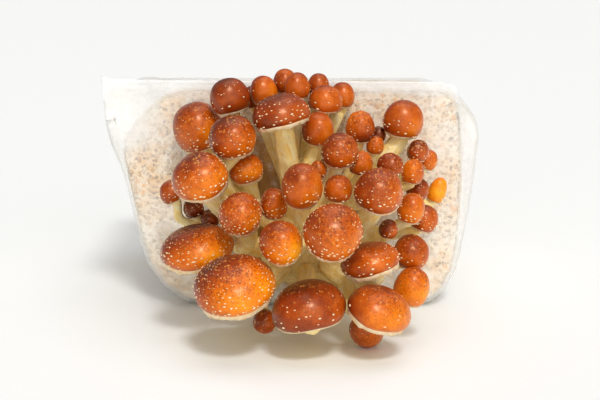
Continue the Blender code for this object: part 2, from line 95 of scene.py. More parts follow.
# Caps: tone from dark maroon (0) to bright orange (1), how much painted glow the margin and the lit side
# gain, how thickly it bears pale flecks, fine grains and veil on its margin, and how crumpled it is
Look = namedtuple("Look", "tone glow flecks grains veil crumple")
LOOKS = {
    "cap_top_1": Look(0.42, 0.00, 0.25, 0.2, 0.3, 0.1),
    "cap_top_2": Look(0.46, 0.05, 0.20, 0.3, 0.3, 0.1),
    "cap_top_3": Look(0.40, 0.00, 0.35, 0.3, 0.3, 0.1),
    "cap_top_4": Look(0.50, 0.05, 0.15, 0.2, 0.3, 0.2),
    "cap_top_5": Look(0.20, 0.00, 0.20, 0.2, 0.2, 0.1),
    "cap_top_6": Look(0.26, 0.08, 0.75, 0.3, 0.8, 0.1),
    "cap_top_7": Look(0.42, 0.08, 0.25, 0.2, 0.3, 0.0),
    "cap_top_8": Look(0.46, 0.05, 0.35, 0.5, 0.4, 0.3),
    "cap_top_9": Look(0.46, 0.00, 0.30, 0.3, 0.5, 0.1),
    "cap_upper_left_1": Look(0.22, 0.05, 0.30, 0.2, 0.5, 0.0),
    "cap_upper_left_2": Look(0.42, 0.10, 0.60, 0.9, 0.4, 0.0),
    "cap_upper_left_3": Look(0.34, 0.12, 0.70, 0.8, 0.7, 0.0),
    "cap_left_1": Look(0.40, 0.16, 0.90, 0.9, 1.00, 0.1),
    "cap_left_2": Look(0.52, 0.10, 0.70, 0.6, 0.90, 0.1),
    "cap_left_3": Look(0.32, 0.05, 0.80, 0.5, 0.4, 0.1),
    "cap_left_4": Look(0.42, 0.06, 0.90, 0.7, 1.00, 0.1),
    "cap_left_5": Look(0.46, 0.05, 1.00, 0.8, 0.4, 0.1),
    "cap_left_6": Look(0.18, 0.00, 0.80, 0.5, 0.3, 0.1),
    "cap_lower_left_1": Look(0.36, 0.26, 0.90, 0.9, 0.90, 0.2),
    "cap_lower_left_2": Look(0.40, 0.26, 0.95, 1.0, 1.00, 0.1),
    "cap_lower_left_3": Look(0.26, 0.05, 0.60, 0.6, 0.3, 0.1),
    "cap_front_1": Look(0.42, 0.08, 0.80, 0.9, 0.90, 0.0),
    "cap_front_2": Look(0.46, 0.22, 0.60, 0.6, 0.80, 0.1),
    "cap_front_3": Look(0.44, 0.05, 0.35, 0.5, 0.3, 0.0),
    "cap_front_4": Look(0.44, 0.00, 0.40, 0.8, 0.3, 0.1),
    "cap_front_5": Look(0.36, 0.04, 0.50, 0.9, 0.5, 0.0),
    "cap_lower_1": Look(0.27, 0.04, 0.25, 0.8, 0.08, 0.0),
    "cap_lower_right_1": Look(0.46, 0.16, 0.15, 0.90, 0.90, 0.1),
    "cap_lower_right_2": Look(0.44, 0.05, 0.25, 0.80, 0.2, 0.1),
    "cap_lower_right_3": Look(0.62, 0.06, 0.15, 0.80, 0.3, 0.1),
    "cap_lower_right_4": Look(0.38, 0.06, 0.70, 0.7, 1.0, 0.1),
    "cap_right_1": Look(0.40, 0.02, 0.65, 0.8, 0.5, 0.0),
    "cap_right_2": Look(0.40, 0.05, 0.25, 0.8, 0.3, 0.0),
    "cap_right_3": Look(0.56, 0.05, 0.60, 0.4, 0.5, 0.0),
    "cap_right_4": Look(0.40, 0.05, 0.70, 0.5, 0.4, 0.1),
    "cap_upper_right_1": Look(0.40, 0.08, 0.55, 0.3, 0.5, 0.0),
    "cap_upper_right_2": Look(0.66, -0.30, 0.60, 0.7, 0.4, 0.7),
    "cap_upper_right_3": Look(0.56, -0.10, 0.30, 0.5, 0.2, 0.7),
    "cap_upper_right_4": Look(0.42, 0.00, 0.80, 1.0, 0.3, 0.3),
    "cap_upper_right_5": Look(0.24, 0.10, 0.60, 1.0, 0.3, 0.2),
    "cap_upper_right_6": Look(0.55, 0.05, 0.50, 0.7, 0.3, 0.2),
    "cap_upper_right_7": Look(0.66, -0.10, 0.30, 0.6, 0.2, 0.7),
    "cap_upper_right_8": Look(0.26, 0.10, 0.40, 0.6, 0.2, 0.2),
    "cap_upper_right_9": Look(0.86, 0.05, 0.10, 0.3, 0.1, 0.3),
}

# Pins: the middle of each little cap, its lean and its size, and its tone; its stem is part of the bundle
Pin = namedtuple("Pin", "name across out up width rise side front look")
PINS = [
    Pin("pin_1", -44, 34, 60, 10.2, 8.8, -18, 8, Look(0.22, 0.0, 0.7, 0.5, 0.1, 0.1)),
    Pin("pin_2", 14, 56, 91, 9.2, 8.3, 2, 15, Look(0.52, 0.0, 0.6, 0.6, 0.1, 0.3)),
    Pin("pin_3", 44.5, 34, 100, 9.7, 8.8, 6, 10, Look(0.5, 0.0, 0.5, 0.8, 0.1, 0.4)),
    Pin("pin_4", 47, 20, 103.5, 8.2, 7.8, 6, 5, Look(0.16, 0.0, 0.5, 0.5, 0.1, 0.4)),
    Pin("pin_5", 50.5, 58, 60, 10.2, 8.8, 10, 15, Look(0.2, 0.1, 0.5, 0.6, 0.1, 0.1)),
]
MIDDLE_OF_DOME = 0.42        # height of a dome's middle above its margin, as a share of the rise
SEAT_DEPTH = 0.12            # depth of the stem's seat above the margin, as a share of the rise
PIN_STEM = 2.2 * MM          # radius of a pin's stem

# Reading a packed cap
ON_AXIS = 0.3 * MM           # corners nearer to the axis than this say nothing of the outline
SEAT_TOLERANCE = 0.6 * MM    # how far a stem's corner may lie from the plane of its seat
WIDEST_STEM = 0.62           # the widest stem and one that isn't found, as shares of the cap's radius
PLAIN_STEM = 0.3

# Turning a cap
SMALL_WIDTH = 15 * MM        # below this width a cap is nearly a ball
WIDE_WIDTH = 24 * MM
BUTTON_RISE = 0.72           # share of its width, above which a cap's rise makes it a button
PROFILE_STEPS = 3
SMALL_SEGMENTS = 48
MIDDLE_SEGMENTS = 72
WIDE_SEGMENTS = 108
LIP_THICKNESS = 0.35 * MM
GILL_DEPTH = 0.55 * MM
EDGE_START = 0.55            # share of the radius, outside which the margin waves up and down
EDGE_WAVE = 0.02             # height of its waves, as a share of the radius
CRUMPLE_DEPTH = 0.55 * MM
LUMP_DEPTH = 0.012           # broad unevenness, as a share of the radius

# How the tone changes over a cap
TONE_SHIFT = -0.03
MARGIN_START = 0.62          # share of the way from crown to margin, outside which the skin is darkened with painted shade
MARGIN_PAINTED_SHADE = 0.22
CROWN_DARKENING = 0.10
PATCHES = 0.16
PLAIN_PAINTED_GLOW = 0.13            # painted glow that every cap has on its lit side, before what its look adds
GRAIN_FADE = 1.15            # how fast the grains thin out from the crown
LEAST_GRAINS = 0.12

# Flecks, from the crown to the margin
FIRST_FLECKS = 0.10          # where the first and last rings lie, as shares of the way to the margin
LAST_FLECKS = 0.97
FLECK_SPACING = 1.30         # space along a ring, as a share of the space between rings
FLECK_HEIGHT = 0.42          # height of a fleck, as a share of its width
FLECK_SIDES = 6
FLECK_STAND = 0.30           # how far the middle of a fleck stands above the skin, as a share of its height
CROWN_PITCH = 1.5            # space between rings at the crown and what it gains up to the margin, in mm
PITCH_GAIN = 0.9
CROWN_KEEP = 0.30            # share of the flecks that are there at the crown, and its gain
KEEP_GAIN = 0.58
CROWN_WIDTH = 0.32           # width of a fleck at the crown and its gain, in mm
WIDTH_GAIN = 0.70
GAIN_BEND = 1.4              # above 1, most of the gain is near the margin
FULL_FLECKS = 11 * MM        # radius from which a cap has flecks of full size
SMALLEST_FLECKS = 0.6        # their size on the smallest cap, as a share of that

# Veil and collar
LARGE_VEIL = 9 * MM          # radius from which a cap's veil has the larger number of steps
VEIL_DROP = 0.2 * MM
VEIL_LONGEST = 1.3
VEIL_DEEPEST = 2.4 * MM
VEIL_SHARE = 0.17            # the most it hangs, as a share of the cap's radius
VEIL_THICKNESS = 0.45 * MM
VEIL_START = 0.06            # height above the margin at which it starts, as a share of the rise
VEIL_STEPS = 120
SMALL_VEIL_STEPS = 72
COLLAR_SIDES = 24
COLLAR_FOOT = 0.92           # radii of the collar, as shares of the stem's
COLLAR_TOP = 1.35
COLLAR_REACH = 0.28          # how far it runs down the stem, as a share of the stem's radius, and 1.2 mm more
COLLAR_MORE = 1.2 * MM
COLLAR_SUNK = 0.3 * MM

# Stems
VOXEL = 0.85 * MM
SOFTEN_ROUNDS = 10
OLD_AND_SHADED_REACH = 0.075            # distance from the butt within which stems are brown with age and with painted shade
STEM_SWELL = 0.30 * MM
FIBRE_DEPTH = 0.22 * MM
STEM_LUMPS = 0.35 * MM

BUNDLES = ["top", "upper_left", "left", "lower_left", "front", "lower", "lower_right", "right", "upper_right"]

# The side on which each cap's colour is painted lighter and more orange, a painted glow as if light shone
# through its thin flesh: to the right, the front and below
PAINTED_GLOW_SIDE = Vector((0.70, -0.40, -0.55)).normalized()

# Colours, linear, each with its place in a row
FELT = [(0.0, (0.86, 0.50, 0.22)), (0.4, (0.94, 0.70, 0.40)), (1.0, (0.98, 0.86, 0.62))]
GILLS = [(0.0, (0.86, 0.58, 0.24)), (0.5, (0.95, 0.76, 0.38)), (1.0, (0.98, 0.88, 0.56))]
FLESH = [(0.12, (0.86, 0.50, 0.12)), (0.40, (0.98, 0.74, 0.27)), (0.78, (1.0, 0.91, 0.54))]
TONES = [
    (0.00, (0.075, 0.010, 0.002)),
    (0.25, (0.290, 0.036, 0.003)),
    (0.50, (0.590, 0.105, 0.003)),
    (0.75, (0.880, 0.230, 0.004)),
    (1.00, (0.990, 0.430, 0.010)),
]


# Places and shapes

def merged_copy(node):
    """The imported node's mesh as a bmesh, with the corners of its loose triangles joined."""
    bm = bmesh.new()
    bm.from_mesh(node.data)
    bmesh.ops.remove_doubles(bm, verts=bm.verts, dist=0.001 * MM)
    return bm


def piece(name, bm, materials, replaced=()):
    """Finishes a bmesh as a named piece that rides with the part."""
    mesh = bpy.data.meshes.new(name)
    bm.to_mesh(mesh)
    bm.free()
    mesh.shade_smooth()
    for material in materials:
        mesh.materials.append(material)
    obj = bpy.data.objects.new(name, mesh)
    bpy.context.scene.collection.objects.link(obj)
    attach(obj, "root")
    if replaced:
        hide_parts(*replaced)
    return obj


# Where a cap sits: the middle of its margin, its axis, a direction across it, its sizes, the waves of its
# outline and the radius of its stem
Seat = namedtuple("Seat", "centre axis side rise radius swell stem")


def read_cap(node, stem_places):
    """Where a packed cap sits, how it leans and how big it is, read off its own mesh."""
    bm = merged_copy(node)
    flats = {}
    for face in bm.faces:
        key = tuple(round(c, 2) for c in face.normal)
        flats.setdefault(key, []).append(face)
    seat_faces = max(flats.values(), key=lambda faces: (len(faces), sum(f.calc_area() for f in faces)))
    axis = -sum((f.normal * f.calc_area() for f in seat_faces), Vector()).normalized()
    crown = max(bm.verts, key=lambda v: v.co.dot(axis)).co.copy()
    foot = min(v.co.dot(axis) for v in bm.verts)
    rise = crown.dot(axis) - foot
    centre = crown - axis * rise
    side = axis.orthogonal().normalized()
    other = axis.cross(side)
    rings = {}
    for vert in bm.verts:
        away = vert.co - centre
        height = away.dot(axis)
        away -= axis * height
        if away.length > ON_AXIS:
            turn = math.atan2(away.dot(other), away.dot(side))
            rings.setdefault(round(height / rise, 1), []).append((away.length, turn))
    radius = max(sum(r for r, _ in ring) / len(ring) for ring in rings.values())
    ring = rings[0]
    mean = sum(r for r, _ in ring) / len(ring)
    swell = []
    for wave in (2, 3):
        for turned in (math.cos, math.sin):
            swell.append(2 * sum(r * turned(wave * t) for r, t in ring) / len(ring) / mean)
    bm.free()
    seat = centre + axis * rise * SEAT_DEPTH
    near = [Vector(co) for co, _, _ in stem_places.find_range(seat, radius)]
    reach = [(co - seat).length for co in near if abs((co - seat).dot(axis)) < SEAT_TOLERANCE]
    stem = max([r for r in reach if r < WIDEST_STEM * radius], default=PLAIN_STEM * radius)
    return Seat(centre, axis, side, rise, radius, swell, stem)


def outline_swell(seat, turn):
    """How far the cap's outline stands out at a turn, as a share of its radius."""
    a, b, c, d = seat.swell
    twice = a * math.cos(2 * turn) + b * math.sin(2 * turn)
    return 1 + twice + c * math.cos(3 * turn) + d * math.sin(3 * turn)


def curve_through(points, steps):
    """A smooth run of points through a few given ones."""
    run = []
    for i in range(len(points) - 1):
        before = points[max(i - 1, 0)]
        a = points[i]
        b = points[i + 1]
        after = points[min(i + 2, len(points) - 1)]
        for step in range(steps):
            t = step / steps
            run.append(tuple(
                0.5 * (2 * a[k] + (b[k] - before[k]) * t
                       + (2 * before[k] - 5 * a[k] + 4 * b[k] - after[k]) * t * t
                       + (3 * a[k] - before[k] - 3 * b[k] + after[k]) * t ** 3) for k in range(2)))
    run.append(points[-1])
    return run


# Upper half profiles, from the crown to the margin: (share of radius, share of rise)
BUTTON_TOP = [(0, 1), (0.26, 0.985), (0.52, 0.925), (0.74, 0.81), (0.90, 0.64), (0.985, 0.44), (0.985, 0.26),
              (0.91, 0.10), (0.80, 0.0)]
DOME_TOP = [(0, 1), (0.22, 0.985), (0.44, 0.935), (0.64, 0.84), (0.80, 0.70), (0.92, 0.51), (0.985, 0.31),
            (0.975, 0.13), (0.90, 0.0)]
SMALL_TOP = [(0, 1), (0.32, 0.97), (0.62, 0.87), (0.84, 0.69), (0.97, 0.48), (0.97, 0.26), (0.88, 0.08),
             (0.78, 0.0)]


def top_profile(seat):
    """The upper half profile that suits a cap's width and rise."""
    width = 2 * seat.radius
    points = DOME_TOP
    if width < SMALL_WIDTH:
        points = SMALL_TOP
    elif seat.rise > BUTTON_RISE * width:
        points = BUTTON_TOP
    return curve_through(points, PROFILE_STEPS)


def cap_place(seat, r, z, turn, look, phase):
    """The place on a cap for a share of its radius and rise and a turn, with its unevenness."""
    swell = outline_swell(seat, turn)
    edge = max(0.0, r - EDGE_START) / (1 - EDGE_START)
    waves = math.sin(3 * turn + phase) + 0.7 * math.sin(5 * turn + 2 * phase)
    wave = EDGE_WAVE * seat.radius * edge * waves
    other = seat.axis.cross(seat.side)
    out = seat.side * math.cos(turn) + other * math.sin(turn)
    place = seat.centre + out * r * seat.radius * swell + seat.axis * (z * seat.rise + wave)
    if look.crumple:
        bumps = noise.noise(place * 420 + Vector((phase, 0, 0))) + 0.6 * noise.noise(place * 900)
        push = (place - seat.centre - seat.axis * seat.rise * 0.3).normalized()
        place = place + push * bumps * look.crumple * CRUMPLE_DEPTH
    lump = noise.noise(place * 130 + Vector((0, phase, 0)))
    return place + out * lump * LUMP_DEPTH * seat.radius


def build_cap(name, seat, look, materials, replaced=()):
    """One cap: its skin, the flecks on it, the veil along its margin and its gills."""
    rng = random.Random(SEED * 1000 + sum(ord(c) for c in name))
    phase = rng.uniform(0, TAU)
    width = 2 * seat.radius
    segments = WIDE_SEGMENTS
    if width < SMALL_WIDTH:
        segments = SMALL_SEGMENTS
    elif width < WIDE_WIDTH:
        segments = MIDDLE_SEGMENTS
    top = top_profile(seat)
    margin = top[-1]
    lip = LIP_THICKNESS / seat.radius
    under = [(margin[0] - lip, 0.004), (margin[0] - 2.5 * lip, 0.03), (0.5 * (margin[0] + 0.5), 0.075),
             (0.50, SEAT_DEPTH), (0, SEAT_DEPTH)]
    profile = top + under
    bm = bmesh.new()
    tone = bm.verts.layers.float.new("tone")
    grains = bm.verts.layers.float.new("grains")
    spread = bm.verts.layers.float.new("spread")
    bm.verts.layers.float.new("pale")
    middle = seat.centre + seat.axis * seat.rise * 0.3
    verts = []
    for i, (r, z) in enumerate(profile):
        vert = bm.verts.new((r, 0, z))
        vert[spread] = i
        verts.append(vert)
    edges = [bm.edges.new(pair) for pair in zip(verts, verts[1:])]
    bmesh.ops.spin(bm, geom=verts + edges, cent=(0, 0, 0), axis=(0, 0, 1), angle=TAU, steps=segments,
                   use_merge=True, use_duplicate=False)
    bmesh.ops.remove_doubles(bm, verts=bm.verts, dist=1e-5)
    bmesh.ops.recalc_face_normals(bm, faces=bm.faces)
    count = len(top)
    for face in bm.faces:
        rows = [vert[spread] for vert in face.verts]
        face.material_index = 2 if min(rows) >= count - 1 else 0
    for vert in bm.verts:
        row = vert[spread]
        x, y, z = vert.co
        r = math.hypot(x, y)
        turn = math.atan2(y, x)
        share = min(1.0, row / (count - 1))
        if row >= count:
            gill = round(turn / TAU * segments) % 2
            depth = min(1.0, (row - count + 1) / 2) * (0 if r < 0.2 else 1)
            z += gill * depth * GILL_DEPTH / seat.rise
            if row >= count + 3:
                z = min(z, SEAT_DEPTH)
        vert.co = cap_place(seat, r, z, turn, look, phase)
        patch = noise.noise(vert.co * 90 + Vector((phase, phase, 0)))
        # painted shade: the skin is darkened towards the margin
        edge = max(0.0, share - MARGIN_START) / (1 - MARGIN_START)
        # painted glow: each cap is painted lighter and more orange on the side that faces the light, and by
        # its look towards its margin
        lit = (vert.co - middle).normalized().dot(PAINTED_GLOW_SIDE)
        vert[tone] = (look.tone + TONE_SHIFT + look.glow * share - MARGIN_PAINTED_SHADE * edge + PATCHES * patch
                      + (PLAIN_PAINTED_GLOW + look.glow) * lit - CROWN_DARKENING * look.grains * (1 - share) ** 2)
        vert[grains] = look.grains * max(LEAST_GRAINS, 1 - GRAIN_FADE * share)
    add_flecks(bm, seat, look, top, phase, rng)
    add_veil(bm, seat, look, margin, phase)
    add_collar(bm, seat, phase)
    return piece(name, bm, materials, replaced)


def add_flecks(bm, seat, look, top, phase, rng):
    """Small pale scales in rings, larger and closer towards the margin, each pressed into the skin."""
    pale = bm.verts.layers.float["pale"]
    lengths = [0.0]
    for a, b in zip(top, top[1:]):
        lengths.append(lengths[-1] + math.hypot((b[0] - a[0]) * seat.radius, (b[1] - a[1]) * seat.rise))
    total = lengths[-1]
    fullness = min(1.0, seat.radius / FULL_FLECKS)
    scale = SMALLEST_FLECKS + (1 - SMALLEST_FLECKS) * fullness
    distance = total * FIRST_FLECKS
    while distance < total * LAST_FLECKS:
        share = distance / total
        i = max(k for k, length in enumerate(lengths[:-1]) if length <= distance)
        t = (distance - lengths[i]) / (lengths[i + 1] - lengths[i])
        r = top[i][0] + (top[i + 1][0] - top[i][0]) * t
        z = top[i][1] + (top[i + 1][1] - top[i][1]) * t
        pitch = (CROWN_PITCH + PITCH_GAIN * share) * MM * scale
        number = max(3, int(TAU * r * seat.radius / (pitch * FLECK_SPACING)))
        keep = look.flecks * (CROWN_KEEP + KEEP_GAIN * share ** GAIN_BEND)
        for k in range(number):
            chance = rng.random()
            turn = TAU * (k + rng.uniform(-0.4, 0.4)) / number
            jitter = rng.uniform(-0.42, 0.42) * pitch
            size = rng.uniform(0.55, 1.25)
            if chance > keep:
                continue
            here = cap_place(seat, r, z, turn, look, phase)
            there = cap_place(seat, top[i + 1][0], top[i + 1][1], turn, look, phase)
            beside = cap_place(seat, r, z, turn + 0.06, look, phase)
            down = (there - here).normalized()
            here = here + down * jitter
            across = beside - here
            across = (across - down * across.dot(down)).normalized()
            up = across.cross(down)
            if up.dot(here - seat.centre) < 0:
                up = -up
                across = -across
            wide = size * (CROWN_WIDTH + WIDTH_GAIN * share ** GAIN_BEND) * scale * MM
            tall = wide * rng.uniform(0.40, 0.72)
            high = wide * FLECK_HEIGHT
            matrix = Matrix.Identity(4)
            for row in range(3):
                matrix[row][0] = across[row] * wide
                matrix[row][1] = -down[row] * tall
                matrix[row][2] = up[row] * high
                matrix[row][3] = (here + up * high * FLECK_STAND)[row]
            made = bmesh.ops.create_cone(bm, cap_ends=True, segments=FLECK_SIDES, radius1=1, radius2=0.45,
                                         depth=1, matrix=matrix)
            for vert in made["verts"]:
                vert[pale] = min(1.0, 0.30 + share)
                for face in vert.link_faces:
                    face.material_index = 1
        distance += pitch


def add_veil(bm, seat, look, margin, phase):
    """The torn veil: a ragged cream skirt along the margin."""
    pale = bm.verts.layers.float["pale"]
    steps = VEIL_STEPS if seat.radius > LARGE_VEIL else SMALL_VEIL_STEPS
    ring = bmesh.ops.create_circle(bm, cap_ends=False, segments=steps, radius=1)["verts"]
    edges = list({edge for vert in ring for edge in vert.link_edges})
    loops = [ring]
    for _ in range(3):
        made = bmesh.ops.extrude_edge_only(bm, edges=edges)["geom"]
        loops.append([g for g in made if isinstance(g, bmesh.types.BMVert)])
        edges = [g for g in made
                 if isinstance(g, bmesh.types.BMEdge) and all(v in loops[-1] for v in g.verts)]
    deepest = look.veil * min(VEIL_DEEPEST, VEIL_SHARE * seat.radius)
    thick = VEIL_THICKNESS / seat.radius
    for verts, inset, hangs in zip(loops, (0.012, 0.004, -thick, -2.2 * thick), (False, True, True, False)):
        for vert in verts:
            turn = math.atan2(vert.co.y, vert.co.x)
            around = Vector((math.cos(turn), math.sin(turn), 0))
            rag = 0.70 + 0.6 * noise.noise(around * 3 + Vector((phase, 0, 0)))
            rag += 0.25 * noise.noise(around * 15 + Vector((0, phase, 0)))
            place = cap_place(seat, margin[0] + inset, VEIL_START, turn, look, phase)
            if hangs:
                length = deepest * max(0.0, min(VEIL_LONGEST, rag))
                place -= seat.axis * (VEIL_START * seat.rise + VEIL_DROP + length)
            vert.co = place
            vert[pale] = 1.0
            for face in vert.link_faces:
                face.material_index = 1


def add_collar(bm, seat, phase):
    """The flesh where the stem widens into the cap."""
    made = bmesh.ops.create_cone(bm, cap_ends=True, segments=COLLAR_SIDES, radius1=1, radius2=1,
                                 depth=2)["verts"]
    low = [v for v in made if v.co.z < 0]
    high = [v for v in made if v.co.z > 0]
    other = seat.axis.cross(seat.side)
    seat_place = seat.centre + seat.axis * seat.rise * SEAT_DEPTH
    foot = (low, seat.stem * COLLAR_FOOT, -COLLAR_REACH * seat.stem - COLLAR_MORE)
    top = (high, seat.stem * COLLAR_TOP, COLLAR_SUNK)
    for verts, radius, depth in (foot, top):
        for vert in verts:
            turn = math.atan2(vert.co.y, vert.co.x)
            rough = 1 + 0.08 * math.sin(5 * turn + phase)
            vert.co = (seat_place + (seat.side * math.cos(turn) + other * math.sin(turn)) * radius * rough
                       + seat.axis * depth)
    for vert in made:
        for face in vert.link_faces:
            face.material_index = 2


def pin_seat(pin):
    """The seat of a pin's cap, from the pin's own figures, because its node is its fork's."""
    axis = Vector((math.tan(math.radians(pin.side)), -math.tan(math.radians(pin.front)), 1)).normalized()
    middle = Vector((pin.across * MM, BLOCK_FRONT - pin.out * MM, pin.up * MM))
    centre = middle - axis * pin.rise * MM * MIDDLE_OF_DOME
    return Seat(centre, axis, axis.orthogonal().normalized(), pin.rise * MM, pin.width / 2 * MM, (0, 0, 0, 0),
                PIN_STEM)


def build_bundle(name, node, material):
    """A fork's stems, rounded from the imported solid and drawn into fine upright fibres."""
    bm = merged_copy(node)
    mesh = bpy.data.meshes.new("rough_" + name)
    bm.to_mesh(mesh)
    bm.free()
    rough = bpy.data.objects.new("rough_" + name, mesh)
    bpy.context.scene.collection.objects.link(rough)
    remesh = rough.modifiers.new("remesh", "REMESH")
    remesh.mode = "VOXEL"
    remesh.voxel_size = VOXEL
    soften = rough.modifiers.new("soften", "SMOOTH")
    soften.factor = 0.6
    soften.iterations = SOFTEN_ROUNDS
    bm = bmesh.new()
    bm.from_object(rough, bpy.context.evaluated_depsgraph_get())
    bpy.data.objects.remove(rough)
    strand = bm.verts.layers.float_vector.new("strand")
    age = bm.verts.layers.float.new("age")
    bm.normal_update()
    for vert in bm.verts:
        away = vert.co - HEART
        distance = away.length
        direction = away.normalized()
        along = direction * 3.2 + Vector((distance * 6, 0, 0))
        vert[strand] = direction + Vector((distance * 1.6, 0, 0))
        vert[age] = max(0.0, min(1.0, 1 - distance / OLD_AND_SHADED_REACH))
        fibre = noise.noise(along * 11) + 0.7 * noise.noise(along * 26)
        lump = noise.noise(vert.co * 160)
        vert.co = vert.co + vert.normal * (STEM_SWELL + FIBRE_DEPTH * fibre + STEM_LUMPS * lump)
    bmesh.ops.recalc_face_normals(bm, faces=bm.faces)
    return piece(name, bm, [material], [node.name])


# Block and film

# The painted shade on the block's front behind the butt, standing for the shaded stems there, and the film's
# opening: the middles (across, up) and the reaches of two ellipses, in metres
SHADE_MIDDLE = (0.004, 0.062)
SHADE_REACH = (0.052, 0.050)
SHADE_EDGE = 1.15
SHADE_FADE = 0.4
SHADE_CLEARS_FILM = 0.45
HOLE_MIDDLE = (0.008, 0.036)
HOLE_REACH = (0.045, 0.040)
HOLE_EDGE = 0.7

# Where the film is loose: the distances out and up at which that starts, each with the length over which
# it grows, in metres
LEFT_EAR = ((0.070, 0.024), (0.080, 0.020))
RIGHT_EAR = ((0.092, 0.010), (0.085, 0.020))
TOP_CREASE = (0.121, 0.006)
CREASE_LOOSENESS = 0.4
FRONT_OF_FILM = -0.06        # the film in front of this is the one round the opening
FILM_PITCH = Vector((2.2, 4.5, 2.2)) * MM
FOOT_OF_FILM = 4 * MM        # its wrinkles end below this height

BLOCK_PITCH = Vector((3.0, 4.5, 3.0)) * MM
FLAT_UNDERSIDE = 1.5 * MM    # below this height the block stays flat


def grows(value, start, length):
    """From 0 at a start to 1 past a length."""
    return max(0.0, min(1.0, (value - start) / length))


def from_middle(x, z, middle, reach):
    """How far a place on the front is from the middle of an ellipse, 1 being its outline."""
    return math.hypot((x - middle[0]) / reach[0], (z - middle[1]) / reach[1])


def behind_butt_shade(x, z):
    """How much painted shade the block's front has at a place, from 0 to 1."""
    return grows(SHADE_EDGE - from_middle(x, z, SHADE_MIDDLE, SHADE_REACH), 0, SHADE_FADE)


def looseness(x, z):
    """How loosely the film hangs at a place, from 0 to 1."""
    left = grows(-x, *LEFT_EAR[0]) * grows(z, *LEFT_EAR[1])
    right = grows(x, *RIGHT_EAR[0]) * grows(z, *RIGHT_EAR[1])
    return max(left, right, CREASE_LOOSENESS * grows(z, *TOP_CREASE))


def slice_grid(bm, pitch, low, high):
    """Cuts a mesh into a grid of small faces, so that it can be bent."""
    for k in range(3):
        normal = Vector((0, 0, 0))
        normal[k] = 1
        place = low[k] + pitch[k] * 0.5
        while place < high[k]:
            where = Vector((0, 0, 0))
            where[k] = place
            bmesh.ops.bisect_plane(bm, geom=bm.verts[:] + bm.edges[:] + bm.faces[:], dist=0.02 * MM,
                                   plane_co=where, plane_no=normal)
            place += pitch[k]


# Browner places on the block: (across, depth, up, reach) in millimetres and strength
HUSK_PATCHES = [
    (-78, -70, 74, 26, 1.0), (-60, -70, 116, 26, 1.0), (62, -70, 96, 40, 0.75), (84, -70, 70, 28, 0.6),
    (80, -70, 22, 20, 1.0), (-74, -70, 14, 22, 0.9), (-30, -70, 122, 24, 0.9), (24, -70, 120, 34, 0.8),
    (-40, 70, 90, 36, 0.7), (50, 70, 40, 40, 0.8), (0, 70, 20, 34, 0.6), (98, 0, 60, 40, 0.7),
    (-92, 10, 40, 40, 0.8), (-20, 10, 124, 40, 0.5), (60, 40, 124, 36, 0.7),
]


def build_block(node, material):
    """The sawdust block: its surface sinks a little into pits and cracks between the grains."""
    bm = merged_copy(node)
    bmesh.ops.dissolve_limit(bm, angle_limit=math.radians(0.5), verts=bm.verts, edges=bm.edges)
    low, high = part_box(node.name)
    slice_grid(bm, BLOCK_PITCH, low, high)
    bmesh.ops.triangulate(bm, faces=[f for f in bm.faces if len(f.verts) > 4])
    husk = bm.verts.layers.float.new("husk")
    soaked = bm.verts.layers.float.new("soaked")
    bm.normal_update()
    for vert in bm.verts:
        amount = 0.0
        for x, y, z, reach, strength in HUSK_PATCHES:
            away = (vert.co - Vector((x, y, z)) * MM).length / (reach * MM)
            amount = max(amount, strength * math.exp(-away * away * 1.4))
        vert[husk] = amount
        # painted shade on the front behind the butt, where shaded stems stand
        vert[soaked] = behind_butt_shade(vert.co.x, vert.co.z) if vert.co.y < BLOCK_FRONT + 5 * MM else 0.0
        pit = noise.noise(vert.co * 260) + 0.6 * noise.noise(vert.co * 600)
        broad = noise.noise(vert.co * 60)
        push = -0.45 + 0.5 * min(0.9, pit) - 0.35 * (1 + broad)
        if vert.co.z > FLAT_UNDERSIDE:
            vert.co = vert.co + vert.normal * push * MM
    return piece(node.name.replace("block", "body"), bm, [material], [node.name])


def outer_skin(bm):
    """Deletes the inner wall of a hollow mesh and leaves the outer one."""
    tree = BVHTree.FromBMesh(bm)
    inner = []
    for face in bm.faces:
        start = face.calc_center_median() + face.normal * 0.2 * MM
        if tree.ray_cast(start, face.normal)[0] is not None:
            inner.append(face)
    bmesh.ops.delete(bm, geom=inner, context="FACES")


def film_wrinkle(place):
    """How far loose film stands off, in millimetres: soft upright folds, and fine creases across them."""
    x, y, z = place
    bend = noise.noise(Vector((x * 9, y * 9, z * 7)))
    folds = 1 - abs(noise.noise(Vector((x * 38 + bend * 2.0, y * 30, z * 9)))) * 2.4
    fine = 1 - abs(noise.noise(Vector((x * 90 + bend * 3, y * 60, z * 32)))) * 3.0
    return max(0.0, folds) ** 2 * 0.8 + max(0.0, fine) ** 3 * 0.25


